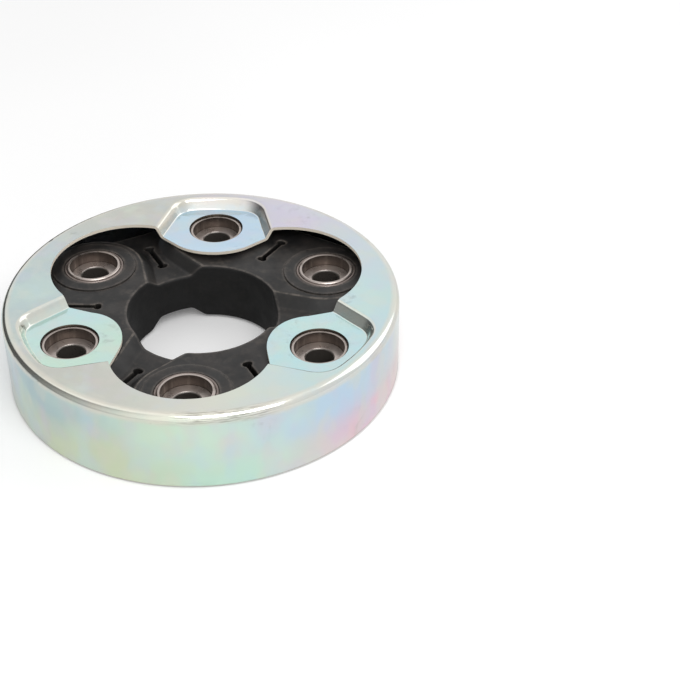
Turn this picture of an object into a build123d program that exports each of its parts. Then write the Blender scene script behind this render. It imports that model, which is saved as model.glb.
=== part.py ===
"""Flexible disc coupling: six steel bushes in a cord-laid rubber disc, held in a pressed sheet cage.

Millimetres and degrees. Z is the shaft axis, pointing up. Z = 0 is the plane on which the bush ends stand.
"""
import os
from math import cos, radians, sin, tan

from build123d import *

os.makedirs("parts", exist_ok=True)

# ---------------------------------------------------------------- layout
bolt_circle_radius = 52.5               # bush centres, on a 105 mm bolt circle
lobes = 3                               # the disc repeats every third of a turn
quarter = 90.0                          # a right angle
tolerance = 0.02                        # points and circles closer than this are the same

lobe_turn = 4 * quarter / lobes
half_step = lobe_turn / 4               # half the angle between neighbouring bushes
low_span = 0.0                          # first low span, between two bushes
raised_span = 2 * half_step             # first raised span
window_bushes = [half_step + lobe * lobe_turn for lobe in range(lobes)]         # stand in the open windows
pocket_bushes = [3 * half_step + lobe * lobe_turn for lobe in range(lobes)]     # pass through the cage

# ---------------------------------------------------------------- bushes and guide collars
sleeve_radius = 10.35
sleeve_length = 25.6
pocket_extra = 0.6                      # pocket bushes are longer at the cage end
bolt_bore_radius = 5.15                 # clearance for an M10 bolt
counterbore_radius = 9.27               # seat of the bolt's round flange
counterbore_depth = 4.34
rim_chamfer = 0.3
bore_chamfer = 0.4
collar_radius = 11.7
collar_step = 0.45                      # sleeve end stands this far out of its collar
collar_chamfer = 0.4
guide_radius = 15.4                     # flange that keeps the cord from climbing
guide_thickness = 1.6
guide_depth = 3.0                       # flange's cord side, in from the sleeve end

mid_height = sleeve_length / 2
guide_inner_height = mid_height - guide_depth
pocket_sleeve_top = sleeve_length + pocket_extra

# ---------------------------------------------------------------- cord loops
cord_radius = guide_radius              # outside of the turns round a bush
middle_lane_half = 4.2
outer_lane_start = 4.8                  # lanes above and below the middle one
outer_lane_end = guide_inner_height

# ---------------------------------------------------------------- rubber body
wrap_radius = 19.5                      # rubber round each bush, outer wall
opening_inset_length = 24.5             # from the bolt circle in to the central opening
opening_edge = 1.0
low_depth = 5.2                         # low spans lie this far below the sleeve ends
pad_depth = 1.1                         # and raised spans this far
boss_depth = 0.5
pad_radius = 19.1                       # upper edge of a pad, round its bushes
pad_draft = 45.0
pad_edge = 3.0
pad_blend = 2.5                         # fillet where a flank meets the low span
pad_flank_length = 24.0                 # flanks run in across the central opening
boss_radius = 16.5
boss_edge = 0.4
slot_inner_length = 12.7                # slots run from here, in from the bolt circle,
slot_outer_length = 1.1                 # to here, out from it, between the runs of a loop
slot_width = 1.8
slot_end_length = 3.6
slot_end_width = 2.6
slot_edge = 0.5

opening_radius = bolt_circle_radius - opening_inset_length
low_half = mid_height - low_depth
pad_half = mid_height - pad_depth
boss_half = mid_height - boss_depth
pad_rise = pad_half - low_half
pad_root = pad_radius + pad_rise * tan(radians(pad_draft))
slot_ends = (bolt_circle_radius - slot_inner_length, bolt_circle_radius + slot_outer_length)

# ---------------------------------------------------------------- sheet cage
sheet_thickness = 1.25
rubber_clearance = 1.05                 # between the rubber and the cage wall
cage_foot = 0.6                         # lower edge above the bush ends
floor_rise_height = 1.4                 # pocket floors above the window bushes' ends
fold_radius = 3.0                       # outside of the drawn corner
bush_clearance = 0.4                    # round each bush in its pocket floor
pocket_depth = 4.5
pocket_half_width = 18.7                # at the bolt circle, on the floor
pocket_narrowing = 14.5                 # each side wall turns in towards the rim
pocket_back_length = 14.1               # from the bush centre to the back wall's foot
pocket_corner = 8.0
pocket_draft = 28.0                     # walls lean out from the vertical
pocket_mouth_radius = 2.6               # outside of the upper bend
pocket_floor_bend = 0.8                 # inside of the lower bend
punch_length = 28.5                     # punch runs in past the tongue
punch_extra_height = 3.0                # punch reaches this far above the cage
window_radius = 29.6
window_inset_length = 17.7              # lobe centres, in from the bolt circle
window_hub_inset_length = 10.5          # edge of the hub cut-out, in from the bolt circle
window_corner = 1.2
tongue_radius = 19.0                    # tongue runs round its bush
tongue_flank = 41.5
tongue_lip_inset_length = 13.5          # from here inwards the tongue is set up
tongue_lip_angle = 8.0
tongue_lip_extra_length = 10.0          # wedge under the lip runs on past the punch

cage_radius = bolt_circle_radius + wrap_radius + rubber_clearance + sheet_thickness
floor_height = sleeve_length + floor_rise_height
cage_top = floor_height + pocket_depth
pocket_front = bolt_circle_radius - punch_length
window_centre = bolt_circle_radius - window_inset_length
window_hub_radius = bolt_circle_radius - window_hub_inset_length


def polar(radius, angle, centre=(0.0, 0.0)):
    """Point at a radius and an angle from a centre."""
    x = centre[0] + radius * cos(radians(angle))
    y = centre[1] + radius * sin(radians(angle))
    return (x, y)


def bush_centre(angle):
    """Centre of the bush at an angle."""
    return polar(bolt_circle_radius, angle)


# ================================================================ sheet cage
def pocket_tool(offset):
    """Punch for one pocket at 90 degrees, grown by the offset so that the sheet keeps its thickness."""
    grow = offset * tan(radians((quarter - pocket_draft) / 2))
    slope = tan(radians(pocket_narrowing))
    half = pocket_half_width + grow / cos(radians(pocket_narrowing))
    front_half = half + (bolt_circle_radius - pocket_front) * slope
    rear_half = half - (cage_radius - bolt_circle_radius) * slope
    floor = floor_height - offset
    lip_start = bolt_circle_radius - tongue_lip_inset_length - offset * tan(radians(tongue_lip_angle / 2))
    lip_end = pocket_front - tongue_lip_extra_length
    lip_rise = (lip_start - lip_end) * tan(radians(tongue_lip_angle))
    with BuildPart() as tool:
        with BuildSketch(Plane.XY.offset(floor)) as outline:
            with BuildLine():
                Polyline(
                    (-front_half, pocket_front),
                    (front_half, pocket_front),
                    (rear_half, cage_radius),
                    (-rear_half, cage_radius),
                    close=True,
                )
            make_face()
            Circle(bolt_circle_radius + pocket_back_length + grow, mode=Mode.INTERSECT)
            fillet(outline.vertices().group_by(Axis.Y)[-1], pocket_corner + grow)
        extrude(amount=pocket_depth + punch_extra_height, taper=-pocket_draft)
        fillet(tool.faces().sort_by(Axis.Z)[0].edges(), pocket_floor_bend + offset)
        # the tongue's inner end is set up by a few degrees
        with BuildSketch(Plane.YZ):
            with BuildLine():
                Polyline(
                    (lip_start, floor),
                    (lip_end, floor),
                    (lip_end, floor + lip_rise),
                    close=True,
                )
            make_face()
        extrude(amount=2 * front_half, both=True, mode=Mode.SUBTRACT)
    return tool.part


def window_outline():
    """Three lobes and the hub between them, less the tongues."""
    touch_x, touch_y = polar(tongue_radius, tongue_flank - quarter, (0.0, bolt_circle_radius))
    reach = cage_radius - touch_x
    end_x = touch_x + reach
    end_y = touch_y + reach * tan(radians(tongue_flank))
    with BuildSketch() as tongue:
        with BuildLine():
            ThreePointArc((-touch_x, touch_y), (0.0, bolt_circle_radius - tongue_radius), (touch_x, touch_y))
            Polyline((touch_x, touch_y), (end_x, end_y), (-end_x, end_y), (-touch_x, touch_y))
        make_face()
    with BuildSketch() as window:
        Circle(window_hub_radius)
        with PolarLocations(window_centre, lobes, start_angle=window_bushes[0]):
            Circle(window_radius)
        with PolarLocations(0.0, lobes, start_angle=pocket_bushes[0] - quarter):
            add(tongue.sketch, mode=Mode.SUBTRACT)
        corners = window.vertices().filter_by(lambda v: v.center().length > window_hub_radius)
        fillet(corners, window_corner)
    return window.sketch


def skin(offset, foot):
    """Solid bounded by the cage's outer surface, moved inwards by the offset."""
    radius = cage_radius - offset
    top = cage_top - offset
    corner = fold_radius - offset
    tool = pocket_tool(offset)
    with BuildPart() as solid:
        with BuildSketch(Plane.XZ):
            with BuildLine():
                Polyline((0.0, top), (0.0, foot), (radius, foot), (radius, top - corner))
                RadiusArc((radius, top - corner), (radius - corner, top), -corner)
                Line((radius - corner, top), (0.0, top))
            make_face()
        revolve(axis=Axis.Z)
        with PolarLocations(0.0, lobes, start_angle=pocket_bushes[0] - quarter):
            add(tool, mode=Mode.SUBTRACT)
        with BuildSketch(Plane.XY.offset(floor_height - 2 * sheet_thickness)):
            add(window_outline())
        extrude(amount=pocket_depth + 4 * sheet_thickness, mode=Mode.SUBTRACT)
        rim = radius - corner
        top_edges = solid.faces().sort_by(Axis.Z)[-1].edges()
        arcs = top_edges.filter_by(GeomType.CIRCLE)
        rim_arcs = arcs.filter_by(lambda arc: abs(arc.radius - rim) < tolerance)
        window_arcs = arcs.filter_by(lambda arc: abs(arc.radius - window_radius) < tolerance)
        pocket_edges = top_edges - rim_arcs - window_arcs
        fillet(pocket_edges, pocket_mouth_radius - offset)
    return solid.part


outside = skin(0.0, cage_foot)
inside = skin(sheet_thickness, cage_foot - sheet_thickness)
with BuildPart() as cage:
    add(outside)
    add(inside, mode=Mode.SUBTRACT)
    with BuildSketch(Plane.XY.offset(floor_height - 2 * sheet_thickness)):
        with PolarLocations(bolt_circle_radius, lobes, start_angle=pocket_bushes[0]):
            Circle(sleeve_radius + bush_clearance)
    extrude(amount=pocket_depth, mode=Mode.SUBTRACT)
cage.part.label = "cage"
export_step(cage.part, "parts/cage.step")


# ================================================================ bushes and collars
def lower_z(half):
    """Height below the middle plane."""
    return mid_height - half


def upper_z(half):
    """Height above the middle plane."""
    return mid_height + half


def bush(angle, length):
    """Turned sleeve with a bolt bore and a counterbore at each end."""
    centre = bush_centre(angle)
    with BuildPart() as sleeve:
        with BuildSketch():
            with Locations(centre):
                Circle(sleeve_radius)
        extrude(amount=length)
        chamfer(sleeve.edges().filter_by(GeomType.CIRCLE), rim_chamfer)
        with BuildSketch():
            with Locations(centre):
                Circle(bolt_bore_radius)
        extrude(amount=length, mode=Mode.SUBTRACT)
        with BuildSketch():
            with Locations(centre):
                Circle(counterbore_radius)
        extrude(amount=counterbore_depth, mode=Mode.SUBTRACT)
        with BuildSketch(Plane.XY.offset(length)):
            with Locations(centre):
                Circle(counterbore_radius)
        extrude(amount=-counterbore_depth, mode=Mode.SUBTRACT)
        circles = sleeve.edges().filter_by(GeomType.CIRCLE)
        bore_mouths = circles.filter_by(lambda edge: abs(edge.radius - bolt_bore_radius) < tolerance)
        chamfer(bore_mouths, bore_chamfer)
    return sleeve.part


def collar(angle, guide_start, hub_end):
    """Guide ring pressed on a sleeve: a thin hub and a wide flange that faces the cord."""
    centre = bush_centre(angle)
    direction = 1 if hub_end > guide_start else -1
    with BuildPart() as ring:
        with BuildSketch(Plane.XY.offset(guide_start)):
            with Locations(centre):
                Circle(guide_radius)
        extrude(amount=direction * guide_thickness)
        with BuildSketch(Plane.XY.offset(guide_start)):
            with Locations(centre):
                Circle(collar_radius)
        extrude(amount=hub_end - guide_start)
        with BuildSketch(Plane.XY.offset(guide_start)):
            with Locations(centre):
                Circle(sleeve_radius)
        extrude(amount=hub_end - guide_start, mode=Mode.SUBTRACT)
        end_face = ring.faces().sort_by(lambda face: face.center().Z * direction)[-1]
        chamfer(end_face.edges(), collar_chamfer)
    return ring.part


def cord(span_angle, start, end):
    """One cord loop, wound round the two bushes on either side of a span."""
    ends = [bush_centre(span_angle - half_step), bush_centre(span_angle + half_step)]
    with BuildPart() as loop:
        with BuildSketch(Plane.XY.offset(start)) as turns:
            with Locations(*ends):
                Circle(cord_radius)
            make_hull()
            with BuildSketch(mode=Mode.PRIVATE) as eye:
                with Locations(*ends):
                    Circle(sleeve_radius)
                make_hull()
            add(eye.sketch, mode=Mode.SUBTRACT)
        extrude(amount=end - start)
    return loop.part


bushes = {}
collars = {}
cords = {}
for number in range(1, 2 * lobes + 1):
    angle = window_bushes[0] + (number - 1) * 2 * half_step
    in_pocket = angle in pocket_bushes
    length = pocket_sleeve_top if in_pocket else sleeve_length
    hub_top = floor_height - sheet_thickness if in_pocket else sleeve_length - collar_step
    bushes["bush_%d" % number] = bush(angle, length)
    collars["collar_upper_%d" % number] = collar(angle, upper_z(guide_inner_height), hub_top)
    collars["collar_lower_%d" % number] = collar(angle, lower_z(guide_inner_height), collar_step)
for number in range(1, lobes + 1):
    turn = (number - 1) * lobe_turn
    middle = low_span + turn
    raised = raised_span + turn
    cords["cord_middle_%d" % number] = cord(middle, lower_z(middle_lane_half), upper_z(middle_lane_half))
    cords["cord_upper_%d" % number] = cord(raised, upper_z(outer_lane_start), upper_z(outer_lane_end))
    cords["cord_lower_%d" % number] = cord(raised, lower_z(outer_lane_end), lower_z(outer_lane_start))


# ================================================================ rubber body
def wrap_outline():
    """Rounded hexagon round all six bushes."""
    with BuildSketch() as hexagon:
        with PolarLocations(bolt_circle_radius, 2 * lobes, start_angle=window_bushes[0]):
            Circle(wrap_radius)
        make_hull()
    return hexagon.sketch


def raised_pad():
    """Upper pad over one pair of bushes, its flanks sloping down to the low spans."""
    right_angle = raised_span - half_step
    left_angle = raised_span + half_step
    right = bush_centre(right_angle)
    left = bush_centre(left_angle)
    lean = quarter + pad_draft
    right_touch = polar(pad_root, right_angle - lean, right)
    left_touch = polar(pad_root, left_angle + lean, left)
    right_end = polar(pad_flank_length, right_angle + lean, right_touch)
    left_end = polar(pad_flank_length, left_angle - lean, left_touch)
    with BuildPart() as pad:
        with BuildSketch(Plane.XY.offset(upper_z(low_half))):
            with BuildLine():
                Line(right_end, right_touch)
                ThreePointArc(
                    right_touch,
                    polar(pad_root, right_angle - lean / 2, right),
                    polar(pad_root, raised_span, right),
                )
                Line(polar(pad_root, raised_span, right), polar(pad_root, raised_span, left))
                ThreePointArc(
                    polar(pad_root, raised_span, left),
                    polar(pad_root, left_angle + lean / 2, left),
                    left_touch,
                )
                Polyline(left_touch, left_end, right_end)
            make_face()
        extrude(amount=pad_rise, taper=pad_draft)
        fillet(pad.faces().sort_by(Axis.Z)[-1].edges(), pad_edge)
    return pad.part


def flat_at(edge, half):
    """Whether an edge lies level at that height above or below the middle plane."""
    level = edge.bounding_box().size.Z < tolerance
    return level and abs(abs(edge.center().Z - mid_height) - half) < tolerance


def axis_distance(edge, share):
    """Distance from the axis of the point that lies a share of the way along an edge."""
    point = edge.position_at(share)
    return Vector(point.X, point.Y, 0.0).length


def on_opening(edge):
    """Whether an edge follows the wall of the central opening, and is not an upright seam of it."""
    shares = (0.0, 0.25, 0.5, 0.75, 1.0)
    follows = all(abs(axis_distance(edge, share) - opening_radius) < tolerance for share in shares)
    size = edge.bounding_box().size
    return follows and size.X + size.Y > tolerance


def bush_circles(radius, height):
    """A circle round every bush, at a height."""
    with BuildSketch(Plane.XY.offset(height)) as circles:
        with PolarLocations(bolt_circle_radius, 2 * lobes, start_angle=window_bushes[0]):
            Circle(radius)
    return circles.sketch


def slot_outline():
    """Slots in the middle of every span, with a rounded cross slot at each end."""
    inner, outer = slot_ends
    with BuildSketch(Plane.XY.offset(lower_z(boss_half))) as slots:
        with PolarLocations((inner + outer) / 2, 2 * lobes, start_angle=low_span):
            SlotOverall(outer - inner + slot_width, slot_width)
        for end in slot_ends:
            with PolarLocations(end, 2 * lobes, start_angle=low_span):
                SlotOverall(slot_end_length, slot_end_width, rotation=quarter)
    return slots.sketch


pad = raised_pad()
pad_below = mirror(pad, about=Plane.XY.offset(mid_height))
with BuildPart() as rubber_body:
    with BuildSketch(Plane.XY.offset(lower_z(low_half))):
        add(wrap_outline())
    extrude(amount=2 * low_half)
    with PolarLocations(0.0, lobes):
        add(pad)
        add(pad_below)
    with BuildSketch(Plane.XY.offset(lower_z(pad_half))):
        add(wrap_outline())
    extrude(amount=2 * pad_half, mode=Mode.INTERSECT)
    level = rubber_body.edges().filter_by(lambda edge: flat_at(edge, low_half))
    outer_limit = bolt_circle_radius + pad_blend
    roots = level.filter_by(lambda edge: opening_radius < axis_distance(edge, 0.5) < outer_limit)
    fillet(roots, pad_blend)
    with BuildSketch(Plane.XY.offset(lower_z(boss_half))):
        Circle(opening_radius)
    extrude(amount=2 * boss_half, mode=Mode.SUBTRACT)
    fillet(rubber_body.edges().filter_by(on_opening), opening_edge)
    add(bush_circles(boss_radius, lower_z(boss_half)))
    extrude(amount=2 * boss_half)
    fillet(rubber_body.edges().filter_by(lambda edge: flat_at(edge, boss_half)), boss_edge)
    add(slot_outline())
    extrude(amount=2 * boss_half, mode=Mode.SUBTRACT)
    mouths = rubber_body.edges(Select.NEW).filter_by(lambda edge: edge.bounding_box().size.Z < tolerance)
    fillet(mouths, slot_edge)
    # the moulding closes on the sleeves, collars and cord
    add(bush_circles(sleeve_radius, lower_z(boss_half)))
    extrude(amount=2 * boss_half, mode=Mode.SUBTRACT)
    add(bush_circles(collar_radius, upper_z(guide_inner_height)))
    extrude(amount=boss_half - guide_inner_height, mode=Mode.SUBTRACT)
    add(bush_circles(collar_radius, lower_z(boss_half)))
    extrude(amount=boss_half - guide_inner_height, mode=Mode.SUBTRACT)
    add(collars.values(), mode=Mode.SUBTRACT)
    add(cords.values(), mode=Mode.SUBTRACT)
rubber_body.part.label = "rubber_body"
export_step(rubber_body.part, "parts/rubber_body.step")

for name, piece in {**bushes, **collars, **cords}.items():
    piece.label = name
    export_step(piece, "parts/%s.step" % name)
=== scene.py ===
"""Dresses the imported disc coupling: procedural materials, studio light, floor and camera."""
import math
import bpy
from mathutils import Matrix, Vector


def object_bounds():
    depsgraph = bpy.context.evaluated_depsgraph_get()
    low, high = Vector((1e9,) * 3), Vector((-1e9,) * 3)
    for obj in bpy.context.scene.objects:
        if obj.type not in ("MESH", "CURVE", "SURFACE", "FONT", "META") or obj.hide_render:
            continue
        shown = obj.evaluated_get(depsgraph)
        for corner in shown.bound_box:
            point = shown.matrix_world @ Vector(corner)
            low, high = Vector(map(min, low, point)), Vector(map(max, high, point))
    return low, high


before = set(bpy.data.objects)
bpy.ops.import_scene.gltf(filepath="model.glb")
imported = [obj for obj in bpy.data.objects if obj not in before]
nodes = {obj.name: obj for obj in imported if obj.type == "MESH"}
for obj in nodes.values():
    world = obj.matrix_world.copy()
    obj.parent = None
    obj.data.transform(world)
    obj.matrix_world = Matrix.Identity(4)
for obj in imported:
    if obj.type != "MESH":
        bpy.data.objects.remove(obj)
cad_low, cad_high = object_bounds()

# ---------------------------------------------------------------- measures, in metres and degrees
SMOOTH_ANGLE = 32.0                     # sharper edges than this stay crisp
WELD_DISTANCE = 0.000002                # joins the faces of one solid
IMPORT_MARKS = ("custom_normal", "sharp_edge", "sharp_face")    # shading that the import wrote
BUSH_COUNT = 6
PITCH_RADIUS = 0.0525                   # bush centres
COUNTERBORE_RADIUS = 0.00927
BORE_RADIUS = 0.00515
WALL_RADIUS = 0.0743                    # drawn wall of the cage
WINDOW_LIMIT = 0.0725                   # the windows and pockets lie inside this
HOLE_LIMIT = 0.0115                     # holes round the bushes are smaller than this
FOLD_START = 0.0713                     # the flat ring ends here
RING_TOP = 0.0315
POCKET_FLOOR = 0.0270
RUBBER_MIDDLE = 0.0128
PAD_HALF = 0.0117                       # pads' faces above and below the middle
OPENING_RADIUS = 0.0280
CORD_PITCH = 0.0008                     # from one turn of the cord to the next
FLOOR_SIZE = 6.0
FLOOR_DROP = 0.0001                     # keeps the floor clear of the bush ends
CAMERA_PLACE = (0.07169, -0.47906, 0.36163)
CAMERA_TURN = (53.778, 0.373, 2.093)
CAMERA_LENS = 82.41
CAMERA_SENSOR = 36.0

WHITE = (1.0, 1.0, 1.0, 1.0)
FULL_TURN = 2.0 * math.pi
BEVEL_SAMPLES = 6
EDGE_FACING = (0.997, 0.95)             # how far the rounded normal turns from a face to an edge


# ---------------------------------------------------------------- node helper
def linear(hex_colour):
    """Linear RGBA of a display colour written as six hex digits."""
    channels = [int(hex_colour[i:i + 2], 16) / 255.0 for i in (0, 2, 4)]
    spread = [c / 12.92 if c <= 0.04045 else ((c + 0.055) / 1.055) ** 2.4 for c in channels]
    return (*spread, 1.0)


class Graph:
    """A small writer for the nodes of one material or world, with its table of named looks."""

    def __init__(self, tree, looks):
        self.tree = tree
        self.looks = looks
        self.tree.nodes.clear()

    def node(self, kind, **settings):
        made = self.tree.nodes.new(kind)
        for key, value in settings.items():
            setattr(made, key, value)
        return made

    def put(self, socket, value):
        """Links an output socket, or sets a plain value."""
        if isinstance(value, bpy.types.NodeSocket):
            self.tree.links.new(value, socket)
        else:
            socket.default_value = value

    def math(self, operation, *values):
        made = self.node("ShaderNodeMath", operation=operation)
        for socket, value in zip(made.inputs, values):
            self.put(socket, value)
        return made.outputs[0]

    def add(self, first, *others):
        total = first
        for other in others:
            total = self.math("ADD", total, other)
        return total

    def times(self, first, *others):
        product = first
        for other in others:
            product = self.math("MULTIPLY", product, other)
        return product

    def size(self, value):
        return self.math("ABSOLUTE", value)

    def vector(self, operation, first, second=(0.0, 0.0, 0.0)):
        made = self.node("ShaderNodeVectorMath", operation=operation)
        self.put(made.inputs[0], first)
        self.put(made.inputs[1], second)
        return made.outputs["Value"] if operation == "LENGTH" else made.outputs["Vector"]

    def place(self, output="Object"):
        """Position in the shared frame, in metres, or another texture coordinate."""
        return self.node("ShaderNodeTexCoord").outputs[output]

    def split(self, vector):
        made = self.node("ShaderNodeSeparateXYZ")
        self.put(made.inputs[0], vector)
        return made.outputs[0], made.outputs[1], made.outputs[2]

    def join(self, x, y, z):
        made = self.node("ShaderNodeCombineXYZ")
        for socket, value in zip(made.inputs, (x, y, z)):
            self.put(socket, value)
        return made.outputs[0]

    def radius(self, x, y):
        return self.vector("LENGTH", self.join(x, y, 0.0))

    def lean(self):
        """1 on level faces and 0 on upright ones."""
        return self.size(self.split(self.place("Normal"))[2])

    def noise(self, vector, scale, detail, roughness=0.5, shift=None):
        if shift is not None:
            vector = self.vector("ADD", vector, (shift, shift, shift))
        made = self.node("ShaderNodeTexNoise")
        self.put(made.inputs["Vector"], vector)
        self.put(made.inputs["Scale"], scale)
        self.put(made.inputs["Detail"], detail)
        self.put(made.inputs["Roughness"], roughness)
        return made.outputs["Fac"]

    def cells(self, vector, scale):
        made = self.node("ShaderNodeTexVoronoi", feature="F1")
        self.put(made.inputs["Vector"], vector)
        self.put(made.inputs["Scale"], scale)
        return made.outputs["Distance"]

    def range(self, value, low, high, new_low=0.0, new_high=1.0):
        """Smooth step of a value from one range to another; low may lie above high."""
        made = self.node("ShaderNodeMapRange", clamp=True, interpolation_type="SMOOTHSTEP")
        self.put(made.inputs["Value"], value)
        self.put(made.inputs["From Min"], low)
        self.put(made.inputs["From Max"], high)
        self.put(made.inputs["To Min"], new_low)
        self.put(made.inputs["To Max"], new_high)
        return made.outputs["Result"]

    def mix(self, factor, first, second):
        made = self.node("ShaderNodeMix", data_type="RGBA")
        self.put(made.inputs[0], factor)
        self.put(made.inputs[6], first)
        self.put(made.inputs[7], second)
        return made.outputs[2]

    def ramp(self, factor, stops):
        """Eased colour ramp of (position, hex colour) pairs."""
        made = self.node("ShaderNodeValToRGB")
        made.color_ramp.interpolation = "EASE"
        elements = made.color_ramp.elements
        elements.remove(elements[-1])
        elements[0].position = stops[0][0]
        elements[0].color = linear(stops[0][1])
        for position, colour in stops[1:]:
            elements.new(position).color = linear(colour)
        self.put(made.inputs[0], factor)
        return made.outputs["Color"]

    def bump(self, height, strength, distance):
        made = self.node("ShaderNodeBump")
        self.put(made.inputs["Height"], height)
        self.put(made.inputs["Strength"], strength)
        self.put(made.inputs["Distance"], distance)
        return made.outputs["Normal"]

    def field(self, vector, name):
        """Named noise of the looks table."""
        return self.noise(vector, *self.looks["noise"][name])

    def step(self, value, name):
        """Named smooth step of the looks table."""
        return self.range(value, *self.looks["step"][name])

    def paint(self, mask, colour, name):
        """Lays a named colour of the looks table over a colour, where the mask is 1."""
        return self.mix(mask, colour, linear(self.looks["colour"][name]))

    def edges(self, width):
        """1 along the part's edges and 0 on its faces."""
        bevel = self.node("ShaderNodeBevel", samples=BEVEL_SAMPLES)
        bevel.inputs["Radius"].default_value = width
        made = self.node("ShaderNodeVectorMath", operation="DOT_PRODUCT")
        self.put(made.inputs[0], bevel.outputs["Normal"])
        self.put(made.inputs[1], self.node("ShaderNodeNewGeometry").outputs["Normal"])
        return self.range(made.outputs["Value"], *EDGE_FACING)

    def turn(self, x, y):
        """Angle round the axis as a number from 0 to 1, counted from +X towards +Y."""
        share = self.math("DIVIDE", self.math("ARCTAN2", y, x), FULL_TURN)
        return self.math("FRACT", self.math("ADD", share, 1.0))

    def from_bush(self, x, y):
        """Position from the nearest bush's centre, found by the sixth of a turn it lies in."""
        sector = self.math("FLOOR", self.times(self.turn(x, y), float(BUSH_COUNT)))
        angle = self.times(self.add(sector, 0.5), FULL_TURN / BUSH_COUNT)
        local_x = self.math("SUBTRACT", x, self.times(self.math("COSINE", angle), PITCH_RADIUS))
        local_y = self.math("SUBTRACT", y, self.times(self.math("SINE", angle), PITCH_RADIUS))
        return local_x, local_y, self.radius(local_x, local_y)

    def surface(self, shader, kind="ShaderNodeOutputMaterial"):
        self.put(self.node(kind).inputs["Surface"], shader)

    def principled(self, **inputs):
        shader = self.node("ShaderNodeBsdfPrincipled")
        for name, value in inputs.items():
            self.put(shader.inputs[name.replace("_", " ")], value)
        self.surface(shader.outputs[0])


def new_material(name, looks):
    material = bpy.data.materials.new(name)
    material.use_nodes = True
    return material, Graph(material.node_tree, looks)


# Each looks table below holds, by name:
#   noise   (scale per metre, detail, roughness, shift); shift moves a field off the others
#   step    (from, to) for 0 to 1, or (from, to, value at from, value at to)
#   colour  display colour in hex
#   amount  plain factors
# ---------------------------------------------------------------- zinc sheet
TINTS = {
    "rose": "e2bfcb", "blush": "c6b6b3", "lilac": "d1c9df", "sky": "bed5e7", "cyan": "bedee1",
    "mint": "c5e0d2", "straw": "d0d9be", "cream": "dad8cb", "silver": "cdd4d2", "grey": "bfbdb3",
    "haze": "b1c7cb", "pale": "cfe5d2",
}
# broad bands, (angle in degrees, tint), round the drawn wall at its top and at its foot
WALL_HIGH = (
    (0, "silver"), (60, "mint"), (120, "lilac"), (180, "cyan"), (225, "haze"), (270, "pale"),
    (320, "sky"), (360, "silver"),
)
WALL_LOW = (
    (0, "blush"), (60, "cyan"), (120, "rose"), (180, "haze"), (240, "straw"), (285, "mint"),
    (330, "rose"), (360, "blush"),
)
# the same round the flat ring and the pocket floors
RING = (
    (0, "cyan"), (60, "lilac"), (120, "grey"), (180, "haze"), (230, "grey"), (280, "cream"),
    (320, "cyan"), (360, "cyan"),
)
POCKET = ((0, "cyan"), (90, "sky"), (180, "cyan"), (225, "mint"), (300, "cyan"), (360, "cyan"))
# (tint, scale, shift, amount) of the clouds between the bands
CLOUDS = (
    ("rose", 62.0, 0.3, 0.14), ("sky", 70.0, 0.7, 0.22), ("straw", 80.0, 0.9, 0.17),
    ("lilac", 95.0, 1.3, 0.16), ("pale", 55.0, 1.9, 0.22), ("cream", 120.0, 2.7, 0.20),
)
CLOUD_DETAIL = 3.0
CLOUD_FLOW = (1.0, 1.0, 0.7)            # clouds are a little taller than wide
RUB_FLOW = (1.0, 1.0, 14.0)             # rubbed gloss runs round the wall
SCUFF_ALONG = 60.0                      # scuffs are long round the fold
SCUFF_ACROSS = 2600.0                   # and fine across it

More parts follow.
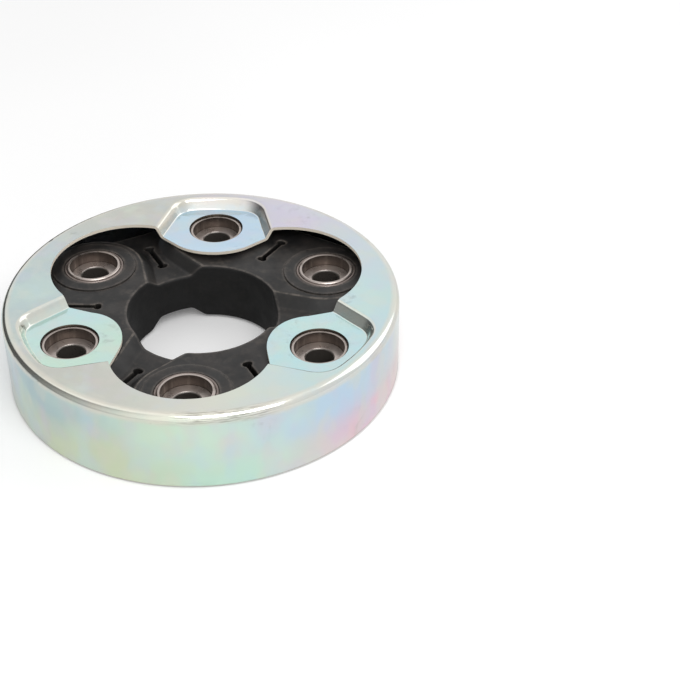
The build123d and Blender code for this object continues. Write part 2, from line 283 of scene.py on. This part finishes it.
ZINC = {
    "noise": {
        "broad": (30.0, 2.0, 0.45),
        "fine": (110.0, 3.0, 0.5, 0.4),
        "patch": (28.0, 1.0, 0.5, 1.7),
        "smudge": (260.0, 4.0, 0.6),
        "rare": (90.0, 1.0, 0.5, 2.3),
        "uneven": (120.0, 3.0, 0.6, 3.1),
        "scratch_and_streak": (1.0, 4.0, 0.7),
        "patchy": (34.0, 2.0, 0.5, 4.2),
        "rub": (90.0, 5.0, 0.65),
        "grain": (700.0, 3.0, 0.55),
        "swell": (60.0, 2.0),
    },
    "step": {
        "high": (0.006, 0.024),                                     # up the wall
        "pocket": (RING_TOP - 0.0012, POCKET_FLOOR + 0.0008),       # down into a pocket
        "wall": (WALL_RADIUS - 0.0022, WALL_RADIUS - 0.0004),       # out on to the wall
        "cloud": (0.50, 0.68),
        "foot": (0.0011, 0.0004, 0.0, 0.85),
        "patch": (0.56, 0.70),
        "smudge": (0.52, 0.74, 0.0, 0.30),
        "speck": (0.035, 0.06, 0.45, 0.0),
        "rare": (0.62, 0.66),
        "upright": (0.30, 0.15),
        "inside": (WINDOW_LIMIT, WINDOW_LIMIT - 0.0005),
        "past_hole": (HOLE_LIMIT - 0.0003, HOLE_LIMIT),
        "in_hole": (HOLE_LIMIT, HOLE_LIMIT - 0.0003),
        "fold": (FOLD_START - 0.0008, FOLD_START + 0.0010),
        "fold_height": (0.0270, 0.0290),
        "sloping": (0.97, 0.90),
        "slope_end": (FOLD_START, WINDOW_LIMIT - 0.0005, 0.95, 0.0),
        "not_upright": (0.30, 0.40),
        "uneven": (0.25, 0.60, 0.35, 0.70),
        "scratch_and_streak": (0.46, 0.60),
        "front_streak_start": (0.730, 0.765),                             # turns round the axis
        "front_streak_end": (0.835, 0.800),
        "patchy": (0.52, 0.64, 0.0, 0.5),
        "gloss": (0.3, 0.75, 0.12, 0.18),
    },
    "colour": {
        "silver": TINTS["silver"],
        "foot": "c4beb1",
        "dirt": "8a8a88",
        "speck": "5c5e5c",
        "cut_and_highlight": "fbf1e0",
        "hole_shade": "77736c",
        "rubbed_and_highlight": "dfdacd",
        "scuff_and_reflection": "77736b",
    },
    "amount": {
        "broad_wander": 0.085,          # turns that the bands' borders wander
        "fine_wander": 0.045,
        "broad_rise": 0.03,             # metres that the high tints' border wanders
        "fine_rise": 0.01,
        "ring_silver": 0.30,
        "cloud_wall_gain": 1.6,
        "speck_scale": 210.0,
        "scuff_and_reflection": 0.60,
        "dirt_roughness": 0.4,
        "cut_roughness": 0.35,
        "swell": 6.0,
        "bump": 0.05,
        "bump_distance": 0.0002,
        "metal": 0.94,
        "cut_metal": -0.84,
    },
}


def tint_ring(graph, share, stops):
    return graph.ramp(share, [(angle / 360.0, TINTS[tint]) for angle, tint in stops])


def zinc_sheet():
    material, graph = new_material("zinc_passivated", ZINC)
    amount = ZINC["amount"]
    place = graph.place()
    x, y, z = graph.split(place)
    radius = graph.radius(x, y)
    lean = graph.lean()
    # the passivation's interference colours: bands round the part, their borders drawn out by noise
    broad = graph.math("SUBTRACT", graph.field(place, "broad"), 0.5)
    fine = graph.math("SUBTRACT", graph.field(place, "fine"), 0.5)
    wander = graph.add(
        graph.times(broad, amount["broad_wander"]),
        graph.times(fine, amount["fine_wander"]),
    )
    share = graph.math("FRACT", graph.add(graph.turn(x, y), wander, 1.0))
    border = graph.add(
        z,
        graph.times(broad, amount["broad_rise"]),
        graph.times(fine, amount["fine_rise"]),
    )
    high = graph.step(border, "high")
    wall = graph.mix(high, tint_ring(graph, share, WALL_LOW), tint_ring(graph, share, WALL_HIGH))
    in_pocket = graph.step(z, "pocket")
    ring = graph.paint(amount["ring_silver"], tint_ring(graph, share, RING), "silver")
    flat = graph.mix(in_pocket, ring, tint_ring(graph, share, POCKET))
    on_wall = graph.step(radius, "wall")
    colour = graph.mix(on_wall, flat, wall)
    # small clouds of more tints, stronger on the wall
    flow = graph.vector("MULTIPLY", place, CLOUD_FLOW)
    for tint, scale, shift, strength in CLOUDS:
        gained = amount["cloud_wall_gain"] * strength
        share_here = graph.range(on_wall, 0.0, 1.0, strength, gained)
        cloud = graph.step(graph.noise(flow, scale, CLOUD_DETAIL, shift=shift), "cloud")
        colour = graph.mix(graph.times(cloud, share_here), colour, linear(TINTS[tint]))
    # the wall's foot is rubbed along its edge
    colour = graph.paint(graph.times(graph.step(z, "foot"), on_wall), colour, "foot")
    # faint dirt, in patches, and rare pin specks
    patch = graph.step(graph.field(place, "patch"), "patch")
    dirt = graph.times(patch, graph.step(graph.field(place, "smudge"), "smudge"))
    colour = graph.paint(dirt, colour, "dirt")
    speck = graph.step(graph.cells(place, amount["speck_scale"]), "speck")
    rare = graph.step(graph.field(place, "rare"), "rare")
    colour = graph.paint(graph.times(speck, rare), colour, "speck")
    # punched edges are raw and matt, and painted pale: partly their bare steel, partly a painted
    # highlight for the rolled edge catching light. In the holes round the bushes they are painted
    # darker, as painted shade in the gap round the bush
    offset = graph.from_bush(x, y)[2]
    upright = graph.times(graph.step(lean, "upright"), graph.step(radius, "inside"))
    cut_and_highlight = graph.times(upright, graph.step(offset, "past_hole"))
    colour = graph.paint(cut_and_highlight, colour, "cut_and_highlight")
    # painted shade: the holes' cut faces are darker where the gap round the bush lies in shade
    colour = graph.paint(graph.times(upright, graph.step(offset, "in_hole")), colour, "hole_shade")
    # the drawn bends and slopes are painted bright: partly rubbed wear, partly a painted highlight
    fold = graph.times(graph.step(radius, "fold"), graph.step(z, "fold_height"))
    slope = graph.times(graph.step(lean, "sloping"), graph.step(radius, "slope_end"))
    slope = graph.times(slope, graph.step(lean, "not_upright"))
    rubbed_and_highlight = graph.math("MAXIMUM", fold, slope)
    uneven = graph.step(graph.field(place, "uneven"), "uneven")
    colour = graph.paint(graph.times(rubbed_and_highlight, uneven), colour, "rubbed_and_highlight")
    # fine dark streaks run round the fold, most of them in front: partly scuffs, partly a painted
    # reflection of dark streaks in the fold's highlight
    around = graph.turn(x, y)
    track = graph.join(
        graph.times(around, SCUFF_ALONG),
        graph.times(z, SCUFF_ACROSS),
        graph.times(radius, SCUFF_ACROSS),
    )
    scratch_and_streak = graph.step(graph.field(track, "scratch_and_streak"), "scratch_and_streak")
    front_streak_band = graph.times(graph.step(around, "front_streak_start"), graph.step(around, "front_streak_end"))
    patchy = graph.step(graph.field(place, "patchy"), "patchy")
    scuffs_and_streaks = graph.times(scratch_and_streak, graph.math("MAXIMUM", front_streak_band, patchy))
    scuff_and_reflection = graph.times(scuffs_and_streaks, graph.times(fold, amount["scuff_and_reflection"]))
    colour = graph.paint(scuff_and_reflection, colour, "scuff_and_reflection")
    # gloss, grain and metal
    rub = graph.field(graph.vector("MULTIPLY", place, RUB_FLOW), "rub")
    gloss = graph.add(graph.step(rub, "gloss"), graph.times(dirt, amount["dirt_roughness"]))
    rough = graph.add(gloss, graph.times(cut_and_highlight, amount["cut_roughness"]))
    swell = graph.times(graph.field(place, "swell"), amount["swell"])
    skin = graph.add(graph.field(place, "grain"), swell)
    normal = graph.bump(skin, amount["bump"], amount["bump_distance"])
    metal = graph.add(amount["metal"], graph.times(cut_and_highlight, amount["cut_metal"]))
    graph.principled(Base_Color=colour, Metallic=metal, Roughness=rough, Normal=normal)
    return material


# ---------------------------------------------------------------- steel of the bushes and collars
STEEL = {
    "noise": {
        "streaks": (380.0, 4.0, 0.6),
        "marks": (1.0, 2.0, 0.6),
        "mottle": (190.0, 4.0, 0.6),
    },
    "step": {
        "under_rim": (COUNTERBORE_RADIUS + 0.0001, COUNTERBORE_RADIUS + 0.00004),
        "out_to_wall": (COUNTERBORE_RADIUS - 0.0003, COUNTERBORE_RADIUS - 0.0001),
        "off_wall": (COUNTERBORE_RADIUS - 0.0001, COUNTERBORE_RADIUS - 0.0003),
        "past_bore": (BORE_RADIUS + 0.0003, BORE_RADIUS + 0.0006, 0.0, 0.65),
        "bore": (BORE_RADIUS + 0.0005, BORE_RADIUS + 0.0001),
        "metal": (0.0, 1.0, 0.88, 0.35),        # the bore is oiled and dull
    },
    "colour": {"lit_shelf": "c8beb8", "bore": "57524d"},
    "amount": {
        "streak_rise": 0.12,            # streaks are long up the bore
        "mark_rings": 9000.0,           # turning marks across a face
        "mark_rise": 2500.0,            # and up a wall
        "tone_marks": 0.35,
        "tone_mottle": 0.65,
        "smoother": 0.05,
        "rougher": 0.08,
        "wall_roughness": 0.08,
        "bump_marks": 0.6,
        "bump_streaks": 0.3,
        "bump": 0.20,
        "bump_distance": 0.00005,
    },
}
MOTTLE_SPREAD = (0.3, 0.7)
STEEL_SHADED_WALL_RAMP = ((0.30, "4a423d"), (0.50, "625953"), (0.70, "7b726b"))
BUSH_STEEL = ("b6aca6", "837972", 0.30)         # light, dark, roughness
COLLAR_STEEL = ("857a75", "564c48", 0.36)


def turned_steel(name, light, dark, roughness):
    material, graph = new_material(name, STEEL)
    amount = STEEL["amount"]
    place = graph.place()
    x, y, z = graph.split(place)
    local_x, local_y, offset = graph.from_bush(x, y)
    # streaks run up the bore, turning marks run round the faces
    up_bore = graph.join(local_x, local_y, graph.times(z, amount["streak_rise"]))
    streaks = graph.field(up_bore, "streaks")
    across = graph.times(offset, amount["mark_rings"])
    marks = graph.field(graph.join(across, graph.times(z, amount["mark_rise"]), 0.0), "marks")
    mottle = graph.field(place, "mottle")
    tone = graph.add(
        graph.times(marks, amount["tone_marks"]),
        graph.times(mottle, amount["tone_mottle"]),
    )
    colour = graph.ramp(tone, [(0.32, dark), (0.50, light), (0.74, light)])
    # the counterbore's wall is painted darker, with streaks: painted shade inside the recess
    wall = graph.times(graph.step(offset, "under_rim"), graph.step(offset, "out_to_wall"))
    colour = graph.mix(wall, colour, graph.ramp(streaks, STEEL_SHADED_WALL_RAMP))
    # the shelf under it is painted lighter: painted light where the light reaches the shelf
    lit_shelf = graph.times(graph.step(offset, "off_wall"), graph.step(offset, "past_bore"))
    colour = graph.paint(lit_shelf, colour, "lit_shelf")
    # the bore is painted darker than the faces, as painted shade deep in the bore
    bore = graph.step(offset, "bore")
    colour = graph.paint(bore, colour, "bore")
    metal = graph.step(bore, "metal")
    low, high = roughness - amount["smoother"], roughness + amount["rougher"]
    rough = graph.add(
        graph.range(mottle, *MOTTLE_SPREAD, low, high),
        graph.times(wall, amount["wall_roughness"]),
    )
    relief = graph.add(
        graph.times(marks, amount["bump_marks"]),
        graph.times(streaks, amount["bump_streaks"]),
    )
    normal = graph.bump(relief, amount["bump"], amount["bump_distance"])
    graph.principled(Base_Color=colour, Metallic=metal, Roughness=rough, Normal=normal)
    return material


# ---------------------------------------------------------------- rubber and cord
RUBBER = {
    "noise": {
        "bloom": (48.0, 4.0, 0.6),
        "dust": (380.0, 4.0, 0.65),
        "pits": (520.0, 4.0, 0.7, 1.1),
        "grey_patches": (85.0, 3.0, 0.6, 0.8),
        "chalk": (150.0, 4.0, 0.65, 2.9),
        "polish": (130.0, 3.0),
        "grain": (1000.0, 3.0, 0.6),
    },
    "step": {
        "dust": (0.50, 0.70, 0.0, 0.45),
        "pits": (0.50, 0.36, 0.0, 0.55),
        "past_opening": (OPENING_RADIUS + 0.0001, OPENING_RADIUS + 0.0008),
        "high_or_low": (0.004, 0.009),          # from the middle plane
        "grey_patches": (0.40, 0.66, 0.0, 0.45),
        "near_opening": (OPENING_RADIUS + 0.009, OPENING_RADIUS + 0.002),
        "chalk": (0.50, 0.72, 0.0, 0.60),
        "edge_wear_and_highlight": (0.35, 0.60, 0.25, 0.80),
        "shaded_flank": (0.93, 0.80, 0.0, 0.65),
        "brow_start": (PAD_HALF - 0.00034, PAD_HALF - 0.00022),
        "brow_end": (PAD_HALF - 0.00002, PAD_HALF - 0.00006),
        "brow_highlight": (0.38, 0.62, 0.20, 0.75),
        "rim_band": (OPENING_RADIUS + 0.0018, OPENING_RADIUS + 0.0008),
        "rim_wear_and_highlight": (0.38, 0.62, 0.15, 0.60),
        "inner_shade": (0.0, 1.0, 0.75, 0.0),
        "polish": (0.3, 0.7, 0.42, 0.56),
        "sheltered_roughness": (0.0, 1.0, 0.25, 0.0),
    },
    "colour": {
        "dust": "38332f",
        "pits": "0c0c0c",
        "grey_patches": "37322f",
        "chalk": "4d4640",
        "edge_wear_and_highlight": "5e5751",
        "shaded_flank": "0a0a0a",
        "brow_highlight": "6a635c",
        "rim_wear_and_highlight": "5a5450",
        "inner_shade": "080808",
    },
    "amount": {
        "edge_width": 0.0018,
        "bloom_relief": 4.0,
        "bump": 0.25,
        "bump_distance": 0.00010,
        "specular": 0.38,
    },
}
RUBBER_RAMP = ((0.32, "151515"), (0.54, "1b1a1a"), (0.76, "252321"))
CORD = {
    "noise": {"fibre": (1500.0, 3.0, 0.6)},
    "amount": {"turns": 0.2, "bump": 0.5, "bump_distance": 0.0002, "roughness": 0.85},
}
CORD_RAMP = ((0.2, "6f6046"), (0.5, "a4936c"), (0.8, "c8b890"))


def moulded_rubber():
    material, graph = new_material("moulded_rubber", RUBBER)
    amount = RUBBER["amount"]
    place = graph.place()
    x, y, z = graph.split(place)
    radius = graph.radius(x, y)
    bloom = graph.field(place, "bloom")
    dust = graph.field(place, "dust")
    colour = graph.ramp(bloom, RUBBER_RAMP)
    colour = graph.paint(graph.step(dust, "dust"), colour, "dust")
    colour = graph.paint(graph.step(graph.field(place, "pits"), "pits"), colour, "pits")
    # the faces away from the opening and the middle plane carry greyer patches; the bore and the
    # side wall get none, and are painted darker further down as painted shade
    height = graph.size(graph.math("SUBTRACT", z, RUBBER_MIDDLE))
    outside = graph.times(graph.step(radius, "past_opening"), graph.step(height, "high_or_low"))
    grey_patches = graph.step(graph.field(place, "grey_patches"), "grey_patches")
    colour = graph.paint(graph.times(outside, grey_patches), colour, "grey_patches")
    near_opening = graph.times(outside, graph.step(radius, "near_opening"))
    chalk = graph.step(graph.field(place, "chalk"), "chalk")
    colour = graph.paint(graph.times(near_opening, chalk), colour, "chalk")
    # edges on the outer faces are painted lighter: partly worn, partly a painted highlight
    edge_wear_and_highlight = graph.times(graph.edges(amount["edge_width"]), outside, graph.step(dust, "edge_wear_and_highlight"))
    colour = graph.paint(edge_wear_and_highlight, colour, "edge_wear_and_highlight")
    # flanks and slot walls are painted dark, as painted shade; the pads' upper edges are painted
    # light, as painted highlight, and the opening's rim is painted light, partly scuffed and partly
    # painted highlight
    shaded_flank = graph.times(outside, graph.step(graph.lean(), "shaded_flank"))
    colour = graph.paint(shaded_flank, colour, "shaded_flank")
    brow_highlight = graph.times(graph.step(height, "brow_start"), graph.step(height, "brow_end"))
    colour = graph.paint(graph.times(brow_highlight, outside, graph.step(dust, "brow_highlight")), colour, "brow_highlight")
    rim_wear_and_highlight = graph.times(outside, graph.step(radius, "rim_band"), graph.step(dust, "rim_wear_and_highlight"))
    colour = graph.paint(rim_wear_and_highlight, colour, "rim_wear_and_highlight")
    # the opening's wall and the side wall are painted near black, as painted shade
    colour = graph.paint(graph.step(outside, "inner_shade"), colour, "inner_shade")
    polish = graph.step(graph.field(place, "polish"), "polish")
    rough = graph.add(polish, graph.step(outside, "sheltered_roughness"))
    relief = graph.times(bloom, amount["bloom_relief"])
    grain = graph.add(graph.field(place, "grain"), relief)
    normal = graph.bump(grain, amount["bump"], amount["bump_distance"])
    graph.principled(
        Base_Color=colour, Roughness=rough, Normal=normal, Specular_IOR_Level=amount["specular"],
    )
    return material


def wound_cord():
    material, graph = new_material("wound_cord", CORD)
    amount = CORD["amount"]
    place = graph.place()
    z = graph.split(place)[2]
    turns = graph.math("SINE", graph.times(z, FULL_TURN / CORD_PITCH))
    fibre = graph.field(place, "fibre")
    colour = graph.ramp(graph.add(graph.times(turns, amount["turns"]), fibre), CORD_RAMP)
    normal = graph.bump(graph.add(turns, fibre), amount["bump"], amount["bump_distance"])
    graph.principled(Base_Color=colour, Roughness=amount["roughness"], Normal=normal)
    return material


# ---------------------------------------------------------------- the CAD pieces and their finishes
def crisp_shading():
    """Modifier nodes that join the faces of a CAD piece and shade it smooth but for its sharp
    edges. They work on the modifier's copy, so the CAD mesh itself isn't changed."""
    group = bpy.data.node_groups.new("crisp_shading", "GeometryNodeTree")
    group.interface.new_socket("Geometry", in_out="INPUT", socket_type="NodeSocketGeometry")
    group.interface.new_socket("Geometry", in_out="OUTPUT", socket_type="NodeSocketGeometry")
    links = group.links
    unmarked = group.nodes.new("NodeGroupInput").outputs[0]
    for mark in IMPORT_MARKS:
        drop = group.nodes.new("GeometryNodeRemoveAttribute")
        drop.inputs["Name"].default_value = mark
        links.new(unmarked, drop.inputs["Geometry"])
        unmarked = drop.outputs[0]
    weld = group.nodes.new("GeometryNodeMergeByDistance")
    weld.inputs["Distance"].default_value = WELD_DISTANCE
    smooth = group.nodes.new("GeometryNodeSetShadeSmooth")
    smooth.domain = "FACE"
    crease = group.nodes.new("GeometryNodeSetShadeSmooth")
    crease.domain = "EDGE"
    crease.inputs["Shade Smooth"].default_value = False
    angle = group.nodes.new("GeometryNodeInputMeshEdgeAngle")
    sharper = group.nodes.new("FunctionNodeCompare")
    sharper.operation = "GREATER_THAN"
    sharper.inputs[1].default_value = math.radians(SMOOTH_ANGLE)
    end = group.nodes.new("NodeGroupOutput")
    links.new(unmarked, weld.inputs["Geometry"])
    links.new(weld.outputs[0], smooth.inputs["Geometry"])
    links.new(smooth.outputs[0], crease.inputs["Geometry"])
    links.new(angle.outputs["Unsigned Angle"], sharper.inputs[0])
    links.new(sharper.outputs[0], crease.inputs["Selection"])
    links.new(crease.outputs[0], end.inputs[0])
    return group


finishes = {
    "cage": zinc_sheet(),
    "rubber": moulded_rubber(),
    "bush": turned_steel("bush_steel", *BUSH_STEEL),
    "collar": turned_steel("collar_steel", *COLLAR_STEEL),
    "cord": wound_cord(),
}
shading = crisp_shading()
for name, piece in nodes.items():
    for slot in piece.material_slots:
        slot.material = finishes[name.split("_")[0]]
    piece.modifiers.new("crisp_shading", "NODES").node_group = shading


# ---------------------------------------------------------------- floor, light and camera
FLOOR = {
    "noise": {"pale": (3.0, 2.0)},
    "step": {
        "screen_start": (0.27, 0.32),           # turns round the axis
        "screen_end": (0.74, 0.44),
        "far": (0.13, 0.24),                    # metres from the part's middle
    },
    "colour": {"dim": "101010"},
    "amount": {"screen": 0.93, "glow": 0.14},
}
FLOOR_RAMP = ((0.3, "f4f4f4"), (0.7, "f8f8f8"))
STUDIO = {
    "step": {
        "screen_start": FLOOR["step"]["screen_start"],
        "screen_end": FLOOR["step"]["screen_end"],
        "screen_height": (0.77, 0.63),
        "front": (0.45, 0.05, 0.0, 0.24),       # brighter towards the front
        "front_width": (0.70, 0.15),
        "side": (0.50, 0.95, 1.0, 0.90),        # a little less at the right
    },
    "amount": {"screen": FLOOR["amount"]["screen"], "screen_tilt": 0.62, "light": 0.66},
}
# (name, place, width and height, power in watts) of the lamps
LAMPS = (
    ("key", (0.25, -0.55, 0.85), (0.7, 0.5), 4.0),
    ("fill", (0.75, 0.35, 0.60), (0.75, 0.72), 1.5),
)


def left_screen(graph, x, y):
    """How much of the dim left side of the studio stands in a direction."""
    share = graph.turn(x, y)
    return graph.times(graph.step(share, "screen_start"), graph.step(share, "screen_end"))


def studio_floor():
    """Pale floor that keeps the part's shadow, and glows a little to the camera. To gloss it is
    dim away from the part on the left, as the world's screen is."""
    material, graph = new_material("studio_floor", FLOOR)
    amount = FLOOR["amount"]
    place = graph.place()
    x, y = graph.split(place)[:2]
    path = graph.node("ShaderNodeLightPath")
    far = graph.step(graph.vector("LENGTH", place), "far")
    screen = left_screen(graph, x, y)
    dim = graph.times(path.outputs["Is Glossy Ray"], screen, far, amount["screen"])
    diffuse = graph.node("ShaderNodeBsdfDiffuse")
    pale = graph.ramp(graph.field(place, "pale"), FLOOR_RAMP)
    graph.put(diffuse.inputs["Color"], graph.paint(dim, pale, "dim"))
    glow = graph.node("ShaderNodeEmission")
    graph.put(glow.inputs["Color"], WHITE)
    strength = graph.times(path.outputs["Is Camera Ray"], amount["glow"])
    graph.put(glow.inputs["Strength"], strength)
    both = graph.node("ShaderNodeAddShader")
    graph.put(both.inputs[0], diffuse.outputs[0])
    graph.put(both.inputs[1], glow.outputs[0])
    graph.surface(both.outputs[0])
    return material


half = FLOOR_SIZE / 2
corners = [(-half, -half, 0.0), (half, -half, 0.0), (half, half, 0.0), (-half, half, 0.0)]
floor_mesh = bpy.data.meshes.new("studio_floor")
floor_mesh.from_pydata(corners, [], [(0, 1, 2, 3)])
floor_mesh.materials.append(studio_floor())
floor = bpy.data.objects.new("studio_floor", floor_mesh)
floor.location.z = -FLOOR_DROP
bpy.context.scene.collection.objects.link(floor)


def studio_world():
    """White for the camera. For gloss white too, brighter in front and dim on the left. Softer
    as light on the part."""
    world = bpy.data.worlds.new("studio")
    bpy.context.scene.world = world
    world.use_nodes = True
    graph = Graph(world.node_tree, STUDIO)
    amount = STUDIO["amount"]
    x, y, z = graph.split(graph.place("Generated"))
    height = graph.add(z, graph.times(y, amount["screen_tilt"]))
    screen = graph.times(
        left_screen(graph, x, y), graph.step(height, "screen_height"), amount["screen"],
    )
    front = graph.times(graph.step(y, "front"), graph.step(x, "front_width"))
    side = graph.step(x, "side")
    gloss = graph.times(graph.add(front, side), graph.math("SUBTRACT", 1.0, screen))
    path = graph.node("ShaderNodeLightPath")
    camera_ray = path.outputs["Is Camera Ray"]
    glossy_ray = path.outputs["Is Glossy Ray"]
    light = graph.math("SUBTRACT", 1.0, graph.math("MAXIMUM", camera_ray, glossy_ray))
    strength = graph.add(
        camera_ray, graph.times(glossy_ray, gloss), graph.times(light, amount["light"]),
    )
    background = graph.node("ShaderNodeBackground")
    graph.put(background.inputs["Color"], WHITE)
    graph.put(background.inputs["Strength"], strength)
    graph.surface(background.outputs[0], "ShaderNodeOutputWorld")


def area_light(name, place, size, power):
    """Rectangular lamp that looks at the part's middle."""
    data = bpy.data.lights.new(name, "AREA")
    data.shape = "RECTANGLE"
    data.size, data.size_y = size
    data.energy = power
    lamp = bpy.data.objects.new(name, data)
    lamp.location = place
    aim = (Vector(cad_low) + Vector(cad_high)) / 2 - lamp.location
    lamp.rotation_euler = aim.to_track_quat("-Z", "Y").to_euler()
    bpy.context.scene.collection.objects.link(lamp)


studio_world()
for lamp_settings in LAMPS:
    area_light(*lamp_settings)

camera_data = bpy.data.cameras.new("camera")
camera_data.sensor_width = CAMERA_SENSOR
camera_data.lens = CAMERA_LENS
camera = bpy.data.objects.new("camera", camera_data)
camera.location = CAMERA_PLACE
camera.rotation_euler = [math.radians(angle) for angle in CAMERA_TURN]
bpy.context.scene.collection.objects.link(camera)
bpy.context.scene.camera = camera
bpy.context.scene.view_settings.view_transform = "Standard"
